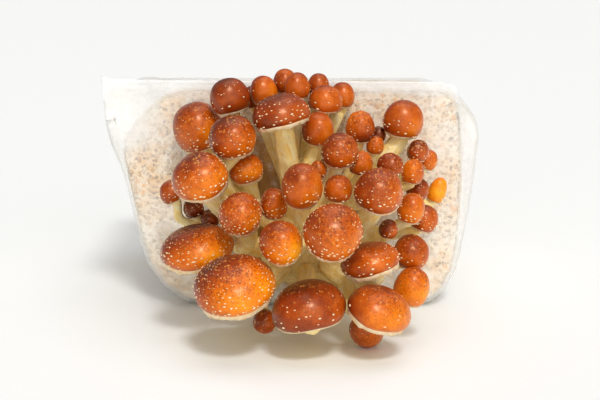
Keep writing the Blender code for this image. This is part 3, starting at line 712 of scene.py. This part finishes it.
def build_film(node, material):
    """The bag: one thin skin over the block, loose at the upper corners, with soft folds."""
    bm = merged_copy(node)
    outer_skin(bm)
    for vert in bm.verts:
        if vert.co.y < BLOCK_FRONT + 0.2 * MM:
            vert.co.y = BLOCK_FRONT
    bmesh.ops.remove_doubles(bm, verts=bm.verts, dist=0.1 * MM)
    bmesh.ops.dissolve_limit(bm, angle_limit=math.radians(0.5), verts=bm.verts, edges=bm.edges)
    low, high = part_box(node.name)
    slice_grid(bm, FILM_PITCH, low, high)
    bmesh.ops.triangulate(bm, faces=[f for f in bm.faces if len(f.verts) > 4])
    milk = bm.verts.layers.float.new("milk")
    bm.normal_update()
    for vert in bm.verts:
        x, y, z = vert.co
        loose = looseness(x, z)
        vert[milk] = loose
        amount = film_wrinkle(vert.co) * (0.5 + loose)
        if y < FRONT_OF_FILM:
            # the film is clearer where the painted shade lies behind the butt, so that it shows through
            vert[milk] = loose - SHADE_CLEARS_FILM * behind_butt_shade(x, z)
            amount *= grows(from_middle(x, z, HOLE_MIDDLE, HOLE_REACH), HOLE_EDGE, 1)
        if z < FOOT_OF_FILM:
            amount *= max(0.0, z / FOOT_OF_FILM)
        push = vert.normal
        if y < BLOCK_FRONT + 1 * MM:
            push = Vector((0, -1, 0))
        vert.co = vert.co + push * amount * MM
    return piece(node.name.replace("grow_bag", "film_bag"), bm, [material], [node.name])


# Materials

def add_node(tree, kind, **settings):
    """A new shader node with its settings."""
    made = tree.nodes.new(kind)
    for key, value in settings.items():
        setattr(made, key, value)
    return made


def wire(tree, source, target):
    """Joins an output to an input."""
    tree.links.new(source, target)


def maths(tree, operation, a, b, clamp=False):
    """The result of a sum, a product or the like, of two outputs or numbers."""
    made = add_node(tree, "ShaderNodeMath", operation=operation, use_clamp=clamp)
    for socket, value in zip(made.inputs, (a, b)):
        if isinstance(value, (int, float)):
            socket.default_value = value
        else:
            wire(tree, value, socket)
    return made.outputs[0]


def colour_mix(tree, factor, a, b):
    """A colour between two, by a factor from 0 to 1."""
    made = add_node(tree, "ShaderNodeMix", data_type="RGBA", blend_type="MIX")
    for socket, value in ((made.inputs[0], factor), (made.inputs[6], a), (made.inputs[7], b)):
        if isinstance(value, tuple):
            socket.default_value = (*value, 1)
        elif isinstance(value, (int, float)):
            socket.default_value = value
        else:
            wire(tree, value, socket)
    return made.outputs[2]


def ramp(tree, factor, stops):
    """A colour picked by a factor from a row of (place, colour) stops."""
    made = add_node(tree, "ShaderNodeValToRGB")
    elements = made.color_ramp.elements
    while len(elements) < len(stops):
        elements.new(0.5)
    for element, (place, colour) in zip(elements, stops):
        element.position = place
        element.color = (*colour, 1)
    wire(tree, factor, made.inputs[0])
    return made.outputs[0]


def attribute(tree, name, output="Fac"):
    """What the mesh stores for each of its corners under a name."""
    return add_node(tree, "ShaderNodeAttribute", attribute_name=name).outputs[output]


def object_place(tree):
    """Places on a piece, in metres."""
    return add_node(tree, "ShaderNodeTexCoord").outputs["Object"]


def group_sockets(group, inputs, outputs):
    """Gives a group its named inputs and outputs, and returns both ends of it."""
    for name, kind, value in inputs:
        socket = group.interface.new_socket(name=name, in_out="INPUT", socket_type=kind)
        if value is not None:
            socket.default_value = value
    for name, kind in outputs:
        group.interface.new_socket(name=name, in_out="OUTPUT", socket_type=kind)
    return group.nodes.new("NodeGroupInput").outputs, group.nodes.new("NodeGroupOutput").inputs


def grain_group():
    """Small irregular grains: a mask that is 1 in the middle of each, for a share of them."""
    group = bpy.data.node_groups.new("grains", "ShaderNodeTree")
    start, end = group_sockets(
        group,
        [("Place", "NodeSocketVector", None), ("Scale", "NodeSocketFloat", 1000.0),
         ("Size", "NodeSocketFloat", 0.35), ("Share", "NodeSocketFloat", 0.5)],
        [("Mask", "NodeSocketFloat")])
    bend = add_node(group, "ShaderNodeTexNoise")
    wire(group, start["Place"], bend.inputs["Vector"])
    wire(group, start["Scale"], bend.inputs["Scale"])
    shift = add_node(group, "ShaderNodeVectorMath", operation="SCALE")
    wire(group, bend.outputs["Color"], shift.inputs[0])
    shift.inputs["Scale"].default_value = 0.0004
    moved = add_node(group, "ShaderNodeVectorMath", operation="ADD")
    wire(group, start["Place"], moved.inputs[0])
    wire(group, shift.outputs[0], moved.inputs[1])
    cells = add_node(group, "ShaderNodeTexVoronoi")
    wire(group, moved.outputs[0], cells.inputs["Vector"])
    wire(group, start["Scale"], cells.inputs["Scale"])
    split = add_node(group, "ShaderNodeSeparateColor")
    wire(group, cells.outputs["Color"], split.inputs[0])
    chosen = maths(group, "LESS_THAN", split.outputs[0], start["Share"])
    size = maths(group, "MULTIPLY", start["Size"], maths(group, "ADD", split.outputs[1], 0.4))
    soft = maths(group, "DIVIDE", maths(group, "SUBTRACT", size, cells.outputs["Distance"]), 0.12, clamp=True)
    wire(group, maths(group, "MULTIPLY", soft, chosen), end["Mask"])
    return group


def cloud_group():
    """Soft unevenness between 0 and 1."""
    group = bpy.data.node_groups.new("clouds", "ShaderNodeTree")
    start, end = group_sockets(
        group,
        [("Place", "NodeSocketVector", None), ("Scale", "NodeSocketFloat", 100.0),
         ("Contrast", "NodeSocketFloat", 1.5)],
        [("Mask", "NodeSocketFloat")])
    cloud = add_node(group, "ShaderNodeTexNoise")
    cloud.inputs["Detail"].default_value = 4
    wire(group, start["Place"], cloud.inputs["Vector"])
    wire(group, start["Scale"], cloud.inputs["Scale"])
    centred = maths(group, "SUBTRACT", cloud.outputs["Fac"], 0.5)
    spread = maths(group, "MULTIPLY", centred, start["Contrast"])
    wire(group, maths(group, "ADD", spread, 0.5, clamp=True), end["Mask"])
    return group


def use_group(tree, group, place, **values):
    """The mask of a group of nodes at a place, with the group's own values."""
    made = add_node(tree, "ShaderNodeGroup", node_tree=group)
    wire(tree, place, made.inputs["Place"])
    for name, value in values.items():
        if isinstance(value, (int, float)):
            made.inputs[name].default_value = value
        else:
            wire(tree, value, made.inputs[name])
    return made.outputs["Mask"]


def new_material(name, roughness, specular=0.5):
    """A plain material, with its tree and its shader."""
    material = bpy.data.materials.new(name)
    material.use_nodes = True
    tree = material.node_tree
    shader = tree.nodes["Principled BSDF"]
    shader.inputs["Roughness"].default_value = roughness
    shader.inputs["Specular IOR Level"].default_value = specular
    return material, tree, shader


def add_bump(tree, shader, height, distance, strength=1.0):
    """Raises the surface by a height between 0 and 1, times a distance in metres."""
    bump = add_node(tree, "ShaderNodeBump")
    bump.inputs["Strength"].default_value = strength
    bump.inputs["Distance"].default_value = distance
    wire(tree, height, bump.inputs["Height"])
    wire(tree, bump.outputs["Normal"], shader.inputs["Normal"])


def skin_material(grains, clouds):
    """Moist chestnut skin: tone from each cap, darker and paler grains, a soft gloss."""
    material, tree, shader = new_material("chestnut_skin", 0.3, specular=0.7)
    shader.inputs["Specular Tint"].default_value = (1.0, 0.62, 0.40, 1)
    place = object_place(tree)
    blotch = use_group(tree, clouds, place, Scale=260.0, Contrast=1.6)
    fine = use_group(tree, clouds, place, Scale=1500.0, Contrast=1.6)
    tone = attribute(tree, "tone")
    shade = maths(tree, "ADD", tone, maths(tree, "MULTIPLY", maths(tree, "SUBTRACT", blotch, 0.5), 0.20))
    shade = maths(tree, "ADD", shade, maths(tree, "MULTIPLY", maths(tree, "SUBTRACT", fine, 0.5), 0.12))
    colour = ramp(tree, shade, TONES)
    amount = attribute(tree, "grains")
    dark = use_group(tree, grains, place, Scale=820.0, Size=0.55, Share=0.65)
    pale = use_group(tree, grains, place, Scale=640.0, Size=0.42, Share=0.40)
    dark_here = maths(tree, "MULTIPLY", dark, maths(tree, "MULTIPLY", amount, 0.95), clamp=True)
    pale_here = maths(tree, "MULTIPLY", pale, maths(tree, "MULTIPLY", amount, 0.60))
    colour = colour_mix(tree, dark_here, colour, (0.13, 0.014, 0.002))
    colour = colour_mix(tree, pale_here, colour, (0.95, 0.38, 0.06))
    wire(tree, colour, shader.inputs["Base Color"])
    height = maths(tree, "ADD", maths(tree, "MULTIPLY", dark_here, 0.6), pale_here)
    height = maths(tree, "ADD", height, maths(tree, "MULTIPLY", fine, 0.12))
    add_bump(tree, shader, height, 0.09 * MM)
    rough = maths(tree, "ADD", maths(tree, "MULTIPLY", fine, 0.10), 0.25)
    wire(tree, maths(tree, "ADD", rough, maths(tree, "MULTIPLY", pale_here, 0.3)), shader.inputs["Roughness"])
    return material


def veil_material(clouds):
    """Pale felt of the torn veil and the flecks, which are amber near the crown of a cap."""
    material, tree, shader = new_material("veil_felt", 0.7, specular=0.2)
    place = object_place(tree)
    blotch = use_group(tree, clouds, place, Scale=420.0, Contrast=2.0)
    fine = use_group(tree, clouds, place, Scale=2200.0, Contrast=2.0)
    felt = ramp(tree, blotch, FELT)
    colour = colour_mix(tree, attribute(tree, "pale"), (0.72, 0.26, 0.05), felt)
    wire(tree, colour, shader.inputs["Base Color"])
    add_bump(tree, shader, fine, 0.2 * MM)
    return material


def gill_material(clouds):
    """Cream gills that tan a little as they grow older."""
    material, tree, shader = new_material("cream_gills", 0.7, specular=0.2)
    place = object_place(tree)
    blotch = use_group(tree, clouds, place, Scale=180.0, Contrast=1.6)
    colour = ramp(tree, blotch, GILLS)
    wire(tree, colour, shader.inputs["Base Color"])
    fine = use_group(tree, clouds, place, Scale=1800.0, Contrast=1.6)
    add_bump(tree, shader, fine, 0.12 * MM)
    return material


def stem_material(grains, clouds):
    """Cream-yellow fibrous stems, olive-brown near the butt, with pale scurf."""
    material, tree, shader = new_material("fibrous_stem", 0.62, specular=0.2)
    place = object_place(tree)
    strand = attribute(tree, "strand", "Vector")
    fibres = use_group(tree, clouds, strand, Scale=22.0, Contrast=2.4)
    hairs = use_group(tree, clouds, strand, Scale=70.0, Contrast=2.2)
    blotch = use_group(tree, clouds, place, Scale=90.0, Contrast=1.8)
    mixed = maths(tree, "ADD", maths(tree, "MULTIPLY", fibres, 0.45), maths(tree, "MULTIPLY", hairs, 0.30))
    mixed = maths(tree, "ADD", mixed, maths(tree, "MULTIPLY", blotch, 0.25))
    colour = ramp(tree, mixed, FLESH)
    # the stems are browner near the butt, partly with age and partly as painted shade under the caps
    age = maths(tree, "MULTIPLY", attribute(tree, "age"), maths(tree, "ADD", blotch, 0.35), clamp=True)
    colour = colour_mix(tree, maths(tree, "MULTIPLY", age, 0.75), colour, (0.62, 0.30, 0.035))
    scurf = use_group(tree, grains, place, Scale=520.0, Size=0.40, Share=0.35)
    colour = colour_mix(tree, maths(tree, "MULTIPLY", scurf, 0.45), colour, (0.98, 0.86, 0.54))
    wire(tree, colour, shader.inputs["Base Color"])
    height = maths(tree, "ADD", maths(tree, "MULTIPLY", fibres, 0.6), maths(tree, "MULTIPLY", hairs, 0.4))
    height = maths(tree, "ADD", height, maths(tree, "MULTIPLY", scurf, 0.5))
    add_bump(tree, shader, height, 0.4 * MM)
    return material


def substrate_material(grains, clouds):
    """Sawdust knit with white mycelium: tan, orange and dark grains in a pale felt."""
    material, tree, shader = new_material("sawdust_mycelium", 0.85, specular=0.2)
    place = object_place(tree)
    broad = use_group(tree, clouds, place, Scale=38.0, Contrast=2.4)
    medium = use_group(tree, clouds, place, Scale=150.0, Contrast=2.6)
    husk = attribute(tree, "husk")
    amount = maths(tree, "ADD", maths(tree, "MULTIPLY", husk, 0.75), maths(tree, "MULTIPLY", broad, 0.35))
    amount = maths(tree, "MULTIPLY", amount, maths(tree, "ADD", medium, 0.25), clamp=True)
    colour = colour_mix(tree, amount, (0.97, 0.92, 0.80), (0.88, 0.56, 0.22))
    tan = use_group(tree, grains, place, Scale=420.0, Size=0.50, Share=0.55)
    dark = use_group(tree, grains, place, Scale=620.0, Size=0.42, Share=0.30)
    amber = use_group(tree, grains, place, Scale=300.0, Size=0.42, Share=0.22)
    tan_here = maths(tree, "MULTIPLY", tan, maths(tree, "ADD", amount, 0.12), clamp=True)
    colour = colour_mix(tree, tan_here, colour, (0.70, 0.38, 0.12))
    amber_here = maths(tree, "MULTIPLY", amber, maths(tree, "MULTIPLY", amount, 1.6), clamp=True)
    colour = colour_mix(tree, amber_here, colour, (0.90, 0.42, 0.06))
    dark_here = maths(tree, "MULTIPLY", dark, maths(tree, "ADD", amount, 0.15), clamp=True)
    colour = colour_mix(tree, dark_here, colour, (0.16, 0.09, 0.04))
    # painted shade: the front behind the butt is darkened brown, standing for the shaded stems there
    soaked = maths(tree, "MULTIPLY", attribute(tree, "soaked"), maths(tree, "ADD", medium, 0.6), clamp=True)
    colour = colour_mix(tree, soaked, colour, (0.42, 0.20, 0.035))
    wire(tree, colour, shader.inputs["Base Color"])
    height = maths(tree, "ADD", tan, maths(tree, "MULTIPLY", medium, 0.8))
    add_bump(tree, shader, height, 0.6 * MM)
    return material


def film_material(clouds):
    """Clear film gone milky with damp, clearer where it clings to the block."""
    material, tree, shader = new_material("milky_film", 0.28, specular=0.6)
    place = object_place(tree)
    broad = use_group(tree, clouds, place, Scale=30.0, Contrast=2.2)
    fine = use_group(tree, clouds, place, Scale=240.0, Contrast=2.0)
    milk = attribute(tree, "milk")
    alpha = maths(tree, "ADD", maths(tree, "MULTIPLY", broad, 0.28), maths(tree, "MULTIPLY", milk, 0.42))
    alpha = maths(tree, "ADD", alpha, maths(tree, "MULTIPLY", fine, 0.10))
    wire(tree, maths(tree, "ADD", alpha, 0.16, clamp=True), shader.inputs["Alpha"])
    shader.inputs["Base Color"].default_value = (0.96, 0.955, 0.93, 1)
    add_bump(tree, shader, fine, 0.5 * MM, 0.4)
    return material


def floor_material():
    """The pale surface that the block stands on."""
    material, _, shader = new_material("pale_floor", 0.6)
    shader.inputs["Base Color"].default_value = (*FLOOR_COLOUR, 1)
    return material


# Stage

def build_stage():
    """A wide floor, which is stage and not part of the object."""
    bm = bmesh.new()
    bmesh.ops.create_grid(bm, x_segments=1, y_segments=1, size=FLOOR_HALF)
    mesh = bpy.data.meshes.new("floor")
    bm.to_mesh(mesh)
    bm.free()
    mesh.materials.append(floor_material())
    floor = bpy.data.objects.new("floor", mesh)
    bpy.context.scene.collection.objects.link(floor)


def build_camera():
    """The camera of the photograph's view, level with its horizon."""
    data = bpy.data.cameras.new("camera")
    data.lens = CAMERA_LENS
    data.sensor_width = CAMERA_SENSOR
    camera = bpy.data.objects.new("camera", data)
    elevation = math.radians(CAMERA_ELEVATION)
    ahead = Vector((0, math.cos(elevation), -math.sin(elevation)))
    camera.location = CAMERA_AIM - ahead * CAMERA_DISTANCE
    camera.rotation_euler = (math.radians(90 - CAMERA_ELEVATION), 0, 0)
    bpy.context.scene.collection.objects.link(camera)
    bpy.context.scene.camera = camera


def add_light(name, strength, place, width, colour):
    """One sun, turned towards the lit place."""
    data = bpy.data.lights.new(name, "SUN")
    data.energy = strength
    data.color = colour
    data.angle = math.radians(width)
    light = bpy.data.objects.new(name, data)
    light.location = place
    light.rotation_euler = (LIT_PLACE - Vector(place)).to_track_quat("-Z", "Y").to_euler()
    bpy.context.scene.collection.objects.link(light)


def build_lights():
    """The suns, the even light from all round and the way that colours are shown."""
    world = bpy.data.worlds.new("studio")
    world.use_nodes = True
    background = world.node_tree.nodes["Background"]
    background.inputs["Color"].default_value = (*WORLD_COLOUR, 1)
    background.inputs["Strength"].default_value = WORLD_STRENGTH
    bpy.context.scene.world = world
    for values in LIGHTS:
        add_light(*values)
    bpy.context.scene.view_settings.view_transform = "Standard"
    bpy.context.scene.view_settings.look = "None"


def main():
    """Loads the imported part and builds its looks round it."""
    for obj in list(bpy.data.objects):
        bpy.data.objects.remove(obj, do_unlink=True)
    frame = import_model()
    build_camera()
    build_lights()
    build_stage()
    grains = grain_group()
    clouds = cloud_group()
    veil = veil_material(clouds)
    cap_materials = [skin_material(grains, clouds), veil, gill_material(clouds)]
    stem = stem_material(grains, clouds)
    nodes = frame["nodes"]
    stem_nodes = [nodes["stems_" + name] for name in BUNDLES]
    points = [v.co.copy() for node in stem_nodes for v in node.data.vertices]
    stem_places = kdtree.KDTree(len(points))
    for i, co in enumerate(points):
        stem_places.insert(co, i)
    stem_places.balance()
    for name, look in LOOKS.items():
        seat = read_cap(nodes[name], stem_places)
        build_cap(name.replace("cap_", "mushroom_cap_"), seat, look, cap_materials, [name])
    for pin in PINS:
        build_cap(pin.name, pin_seat(pin), pin.look, cap_materials)
    for node in stem_nodes:
        build_bundle(node.name.replace("stems_", "fibrous_stems_"), node, stem)
    build_bundle("butt", nodes["cluster_base"], stem)
    build_block(nodes["substrate_block"], substrate_material(grains, clouds))
    build_film(nodes["grow_bag"], film_material(clouds))


main()
